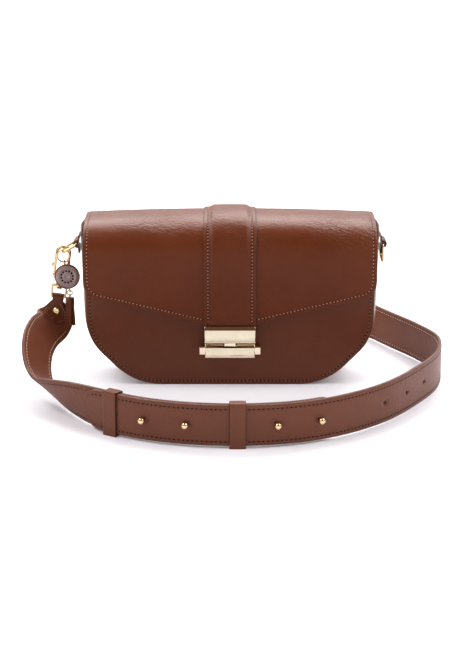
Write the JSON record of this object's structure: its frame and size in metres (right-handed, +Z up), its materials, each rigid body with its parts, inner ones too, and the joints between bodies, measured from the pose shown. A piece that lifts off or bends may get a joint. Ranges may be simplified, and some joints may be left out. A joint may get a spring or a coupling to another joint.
{
  "type": "sling bag",
  "caption": "Flap-front leather sling bag with a push-button metal clasp, side rings, an adjustable shoulder strap on swivel hooks and a hanging charm.",
  "frame": {"origin": "middle of the flat base, on the floor", "axes": "+X to the right as seen from the front, +Y to the back, +Z up"},
  "size_m": [0.3818, 0.3743, 0.1578],
  "materials": {
    "body_leather": "smooth waxed brown leather, fine grain",
    "strap_leather": "satin brown leather, fine grain",
    "lining": "matt woven lining",
    "gold": "polished pale gold plating",
    "steel": "satin plated steel",
    "charm_face": "satin grey-brown enamel",
    "board": "matt stiffener board"
  },
  "bodies": {
    "case": {"front_panel": "body_leather", "back_panel": "body_leather", "gusset": "body_leather", "gusset_lining": "lining", "front_lining": "lining", "back_lining": "lining", "slip_pocket": "lining", "base_board": "board", "flap_back": "body_leather", "strip_back": "body_leather", "lock_case": "gold", "lock_backplate": "steel", "lock_rivet_left": "steel", "lock_rivet_right": "steel", "left_ring_tab": "body_leather", "right_ring_tab": "body_leather", "button_spring_left": "steel", "button_spring_right": "steel"},
    "flap_top": {"flap_top": "body_leather", "flap_lining_top": "lining", "strip_top": "body_leather"},
    "flap_front": {"flap_front": "body_leather", "flap_lining_front": "lining", "strip_front": "body_leather", "clasp_plate": "gold", "clasp_tongue": "steel", "clasp_backplate": "steel", "clasp_rivet_left": "steel", "clasp_rivet_right": "steel"},
    "button_left": {"button_left": "gold"},
    "button_right": {"button_right": "gold"},
    "left_ring": {"left_ring": "gold"},
    "right_ring": {"right_ring": "gold"},
    "left_hook": {"left_hook": "gold"},
    "left_gate": {"left_gate": "gold"},
    "strap": {"left_swivel_ring": "gold", "left_end_tab": "body_leather", "left_tab_rivet": "gold", "strap_short": "strap_leather", "strap_long": "strap_leather", "strap_stud_1": "gold", "strap_stud_2": "gold", "strap_stud_3": "gold", "strap_stud_4": "gold", "right_end_tab": "body_leather", "right_tab_rivet": "gold"},
    "keeper_left": {"keeper_left": "strap_leather"},
    "keeper_middle": {"keeper_middle": "strap_leather"},
    "right_swivel_ring": {"right_swivel_ring": "gold"},
    "right_hook": {"right_hook": "gold"},
    "right_gate": {"right_gate": "gold"},
    "charm_ring": {"charm_ring": "gold"},
    "charm": {"charm_disc": "steel", "charm_face": "charm_face"},
    "tassel": {"charm_link": "gold", "tassel_cap": "body_leather", "tassel_fringe": "body_leather"}
  },
  "joints": [
    {"name": "flap_lift", "type": "hinge", "parent": "case", "child": "flap_top", "pos_m": [0, 0.0442, 0.1435], "axis": [-1, 0, 0], "range_deg": [0, 150]},
    {"name": "flap_fold", "type": "hinge", "parent": "flap_top", "child": "flap_front", "pos_m": [0, -0.0462, 0.1272], "axis": [-1, 0, 0], "range_deg": [0, 75]},
    {"name": "button_left_press", "type": "slide", "parent": "case", "child": "button_left", "axis": [1, 0, 0], "range_m": [0, 0.0015], "stiffness_N_per_m": 600, "deforming": ["button_spring_left"]},
    {"name": "button_right_press", "type": "slide", "parent": "case", "child": "button_right", "axis": [-1, 0, 0], "range_m": [0, 0.0015], "stiffness_N_per_m": 600, "deforming": ["button_spring_right"]},
    {"name": "left_ring_swing", "type": "hinge", "parent": "case", "child": "left_ring", "pos_m": [-0.1394, 0, 0.1255], "axis": [0, 1, 0], "range_deg": [0, 45]},
    {"name": "left_hook_hang", "type": "hinge", "parent": "left_ring", "child": "left_hook", "pos_m": [-0.15282, 0.001, 0.11775], "axis": [0, 1, 0], "range_deg": [-45, 0]},
    {"name": "right_ring_swing", "type": "hinge", "parent": "case", "child": "right_ring", "pos_m": [0.1394, 0, 0.1255], "axis": [0, -1, 0], "range_deg": [0, 110]},
    {"name": "left_gate_open", "type": "hinge", "parent": "left_hook", "child": "left_gate", "pos_m": [-0.16153, 0.001, 0.09888], "axis": [0, 1, 0], "range_deg": [0, 25], "stiffness_Nm_per_rad": 0.02},
    {"name": "strap_swivel", "type": "hinge", "parent": "left_hook", "child": "strap", "pos_m": [-0.15911, 0.001, 0.07304], "axis": [0.1392, 0, 0.9903], "range_deg": [-6, 6]},
    {"name": "keeper_left_slide", "type": "slide", "parent": "strap", "child": "keeper_left", "axis": [0.8238, -0.5669, 0.0016], "range_m": [0, 0.004]},
    {"name": "keeper_middle_slide", "type": "slide", "parent": "strap", "child": "keeper_middle", "axis": [0.9998, 0.0202, 0], "range_m": [-0.004, 0.004]},
    {"name": "right_ring_pivot", "type": "hinge", "parent": "strap", "child": "right_swivel_ring", "pos_m": [-0.06667, 0.15101, 0.0195], "axis": [0, 0, 1], "range_deg": [-25, 25]},
    {"name": "right_hook_swivel", "type": "hinge", "parent": "right_swivel_ring", "child": "right_hook", "pos_m": [-0.11212, 0.14248, 0.0195], "axis": [-0.9828, -0.1844, 0], "continuous": true},
    {"name": "right_gate_open", "type": "hinge", "parent": "right_hook", "child": "right_gate", "pos_m": [-0.09148, 0.14635, 0.0255], "axis": [0.1844, -0.9828, 0], "range_deg": [0, 25], "stiffness_Nm_per_rad": 0.02},
    {"name": "charm_hang", "type": "hinge", "parent": "left_ring", "child": "charm_ring", "pos_m": [-0.15282, -0.009, 0.11775], "axis": [0, 1, 0], "range_deg": [-45, 0]},
    {"name": "charm_swing", "type": "hinge", "parent": "charm_ring", "child": "charm", "pos_m": [-0.1514, -0.009, 0.10876], "axis": [-0.9877, 0, -0.1564], "range_deg": [0, 25]},
    {"name": "tassel_swing", "type": "hinge", "parent": "charm", "child": "tassel", "pos_m": [-0.14714, -0.009, 0.0819], "axis": [-1, 0, 0], "range_deg": [0, 20]}
  ],
  "couplings": [
    {"joint": "left_ring_swing", "follows": "left_hook_hang", "ratio": -1},
    {"joint": "charm_hang", "follows": "left_hook_hang", "ratio": 1}
  ]
}
